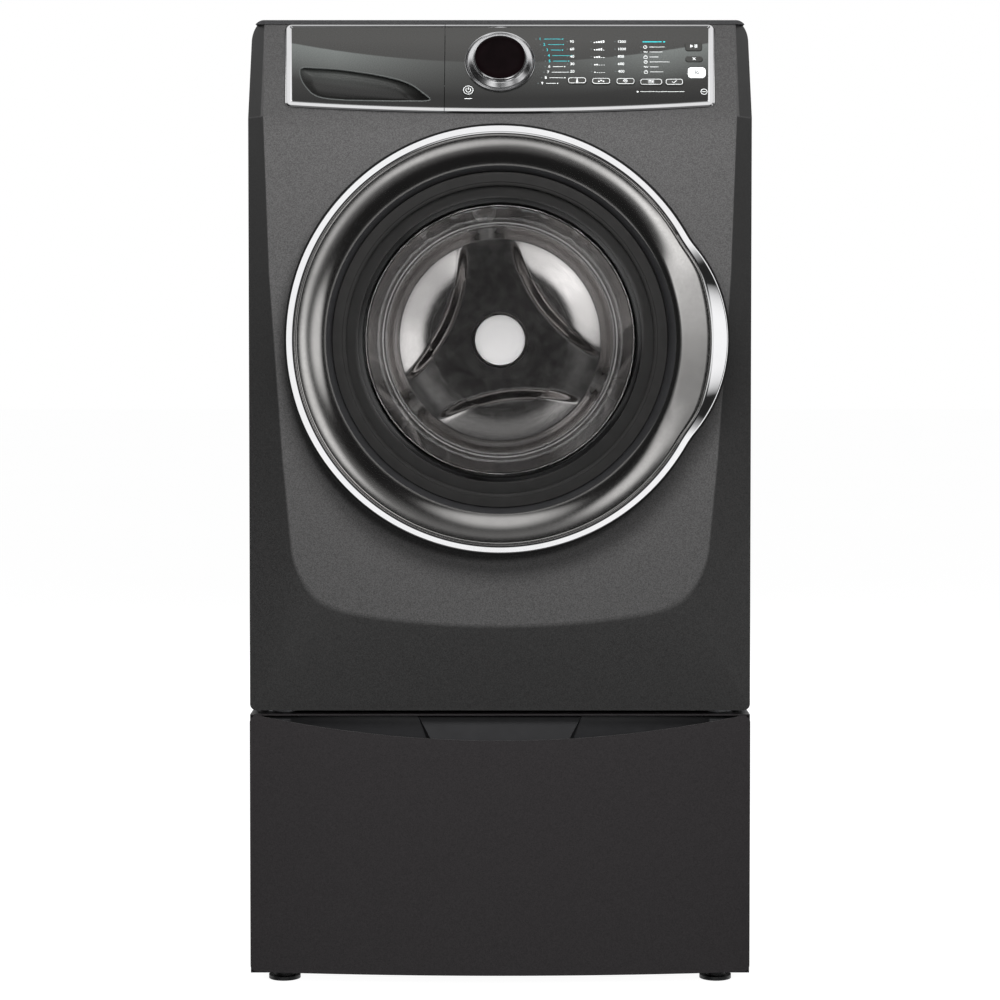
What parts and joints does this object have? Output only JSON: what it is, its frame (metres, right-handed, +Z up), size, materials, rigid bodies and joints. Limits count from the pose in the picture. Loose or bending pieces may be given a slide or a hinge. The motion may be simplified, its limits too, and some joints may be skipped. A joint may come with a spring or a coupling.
{
  "type": "front load washing machine",
  "caption": "Front-loading washing machine on a drawer pedestal, with opening door, detergent drawer, storage drawer, sprung tub and turning drum.",
  "frame": {"origin": "middle of the footprint at floor level (bounding box bottom centre)", "axes": "+X to the right as seen from the front, -Y out of the front, +Z up"},
  "size_m": [0.686, 0.8, 1.327],
  "materials": {
    "body_paint": "dark metallic flake enamel, semi-gloss",
    "worktop_paint": "dark metallic flake enamel, semi-gloss",
    "galvanised_steel": "galvanised sheet",
    "fascia_plastic": "dark satin moulding, lighter toward its lower edge",
    "chrome_trim": "polished",
    "satin_chrome": "satin with a polished bevel",
    "black_plastic": "fine textured moulding",
    "grey_plastic": "moulded",
    "white_plastic": "moulded",
    "frame_plastic": "smooth satin",
    "display_glass": "smoked window",
    "button_plastic": "satin",
    "button_white": "satin",
    "bowl_glass": "smoked clear",
    "boot_rubber": "matt",
    "hose_rubber": "matt",
    "cast_weight": "cast concrete",
    "tub_plastic": "glass-filled moulding",
    "stainless": "fine brushed",
    "cast_aluminium": "as cast",
    "steel": "bright",
    "belt_rubber": "ribbed",
    "spring_steel": "drawn wire"
  },
  "bodies": {
    "cabinet": {"front_panel": "body_paint", "cabinet_wrap": "body_paint", "top_panel": "worktop_paint", "rear_access_cover": "galvanised_steel", "base_pan": "galvanised_steel", "console_fascia": "fascia_plastic", "console_trim": "chrome_trim", "console_housing": "black_plastic", "display_window": "display_glass", "dispenser_housing": "grey_plastic", "water_hoses": "hose_rubber", "inlet_valve": "white_plastic", "power_cord_gland": "black_plastic", "door_boot": "boot_rubber", "door_lock": "black_plastic", "hinge_bracket": "steel", "suspension_springs": "spring_steel", "damper_cylinders": "grey_plastic", "drain_pump": "white_plastic", "tub_hoses": "hose_rubber", "pedestal_cabinet": "body_paint", "outer_rails": "galvanised_steel"},
    "door": {"door_outer_ring": "satin_chrome", "door_frame": "frame_plastic", "door_glass": "bowl_glass", "door_back_cover": "grey_plastic", "door_hinge_arm": "cast_aluminium", "door_strike": "steel"},
    "tub": {"tub_front": "tub_plastic", "tub_rear": "tub_plastic", "counterweights": "cast_weight", "drum_bearings": "steel", "heater": "steel", "motor": "cast_aluminium", "drive_belt": "belt_rubber", "damper_rods": "steel"},
    "drum": {"drum_shell": "stainless", "drum_lifters": "stainless", "drum_spider": "cast_aluminium", "drum_pulley": "cast_aluminium", "hub_cap": "white_plastic"},
    "motor_rotor": {"motor_pulley": "steel"},
    "detergent_drawer": {"dispenser_front": "fascia_plastic", "dispenser_box": "grey_plastic"},
    "selector": {"knob_ring": "chrome_trim"},
    "storage_drawer": {"pedestal_drawer_front": "body_paint", "pedestal_drawer_box": "galvanised_steel"},
    "power_key": {"power_button": "button_plastic"},
    "temperature_key": {"temperature_button": "button_plastic"},
    "soil_key": {"soil_button": "button_plastic"},
    "spin_key": {"spin_button": "button_plastic"},
    "options_key": {"options_button": "button_plastic"},
    "select_key": {"select_button": "button_plastic"},
    "start_key": {"start_button": "button_plastic"},
    "cancel_key": {"cancel_button": "button_plastic"},
    "eco_key": {"eco_button": "button_white"},
    "front_left_leg": {"front_left_foot": "black_plastic"},
    "front_right_leg": {"front_right_foot": "black_plastic"},
    "rear_left_leg": {"rear_left_foot": "black_plastic"},
    "rear_right_leg": {"rear_right_foot": "black_plastic"}
  },
  "joints": [
    {"name": "door_hinge", "type": "hinge", "parent": "cabinet", "child": "door", "pos_m": [-0.268, -0.375, 0.888], "axis": [0, 0, -1], "range_deg": [0, 155]},
    {"name": "tub_suspension", "type": "slide", "parent": "cabinet", "child": "tub", "axis": [0, 0, 1], "range_m": [-0.006, 0.006], "stiffness_N_per_m": 20000, "springref_m": 0.01781, "deforming": ["suspension_springs", "tub_hoses", "door_boot"]},
    {"name": "drum_spin", "type": "hinge", "parent": "tub", "child": "drum", "pos_m": [0, 0, 0.888], "axis": [0, 1, 0], "continuous": true},
    {"name": "motor_spin", "type": "hinge", "parent": "tub", "child": "motor_rotor", "pos_m": [-0.07, 0.28, 0.53], "axis": [0, 1, 0], "continuous": true},
    {"name": "detergent_slide", "type": "slide", "parent": "cabinet", "child": "detergent_drawer", "axis": [0, -1, 0], "range_m": [0, 0.2]},
    {"name": "selector_turn", "type": "hinge", "parent": "cabinet", "child": "selector", "pos_m": [0, -0.3149, 1.26866], "axis": [0, -0.891, 0.454], "continuous": true},
    {"name": "storage_slide", "type": "slide", "parent": "cabinet", "child": "storage_drawer", "axis": [0, -1, 0], "range_m": [0, 0.45]},
    {"name": "power_press", "type": "slide", "parent": "cabinet", "child": "power_key", "axis": [0, 0.891, -0.454], "range_m": [0, 0.0008], "stiffness_N_per_m": 500},
    {"name": "temperature_press", "type": "slide", "parent": "cabinet", "child": "temperature_key", "axis": [0, 0.891, -0.454], "range_m": [0, 0.0008], "stiffness_N_per_m": 500},
    {"name": "soil_press", "type": "slide", "parent": "cabinet", "child": "soil_key", "axis": [0, 0.891, -0.454], "range_m": [0, 0.0008], "stiffness_N_per_m": 500},
    {"name": "spin_press", "type": "slide", "parent": "cabinet", "child": "spin_key", "axis": [0, 0.891, -0.454], "range_m": [0, 0.0008], "stiffness_N_per_m": 500},
    {"name": "options_press", "type": "slide", "parent": "cabinet", "child": "options_key", "axis": [0, 0.891, -0.454], "range_m": [0, 0.0008], "stiffness_N_per_m": 500},
    {"name": "select_press", "type": "slide", "parent": "cabinet", "child": "select_key", "axis": [0, 0.891, -0.454], "range_m": [0, 0.0008], "stiffness_N_per_m": 500},
    {"name": "start_press", "type": "slide", "parent": "cabinet", "child": "start_key", "axis": [0, 0.891, -0.454], "range_m": [0, 0.0008], "stiffness_N_per_m": 500},
    {"name": "cancel_press", "type": "slide", "parent": "cabinet", "child": "cancel_key", "axis": [0, 0.891, -0.454], "range_m": [0, 0.0008], "stiffness_N_per_m": 500},
    {"name": "eco_press", "type": "slide", "parent": "cabinet", "child": "eco_key", "axis": [0, 0.891, -0.454], "range_m": [0, 0.0008], "stiffness_N_per_m": 500},
    {"name": "front_left_adjust", "type": "slide", "parent": "cabinet", "child": "front_left_leg", "axis": [0, 0, 1], "range_m": [-0.012, 0]},
    {"name": "front_right_adjust", "type": "slide", "parent": "cabinet", "child": "front_right_leg", "axis": [0, 0, 1], "range_m": [-0.012, 0]},
    {"name": "rear_left_adjust", "type": "slide", "parent": "cabinet", "child": "rear_left_leg", "axis": [0, 0, 1], "range_m": [-0.012, 0]},
    {"name": "rear_right_adjust", "type": "slide", "parent": "cabinet", "child": "rear_right_leg", "axis": [0, 0, 1], "range_m": [-0.012, 0]}
  ],
  "couplings": [
    {"joint": "motor_spin", "follows": "drum_spin", "ratio": 13.636}
  ]
}
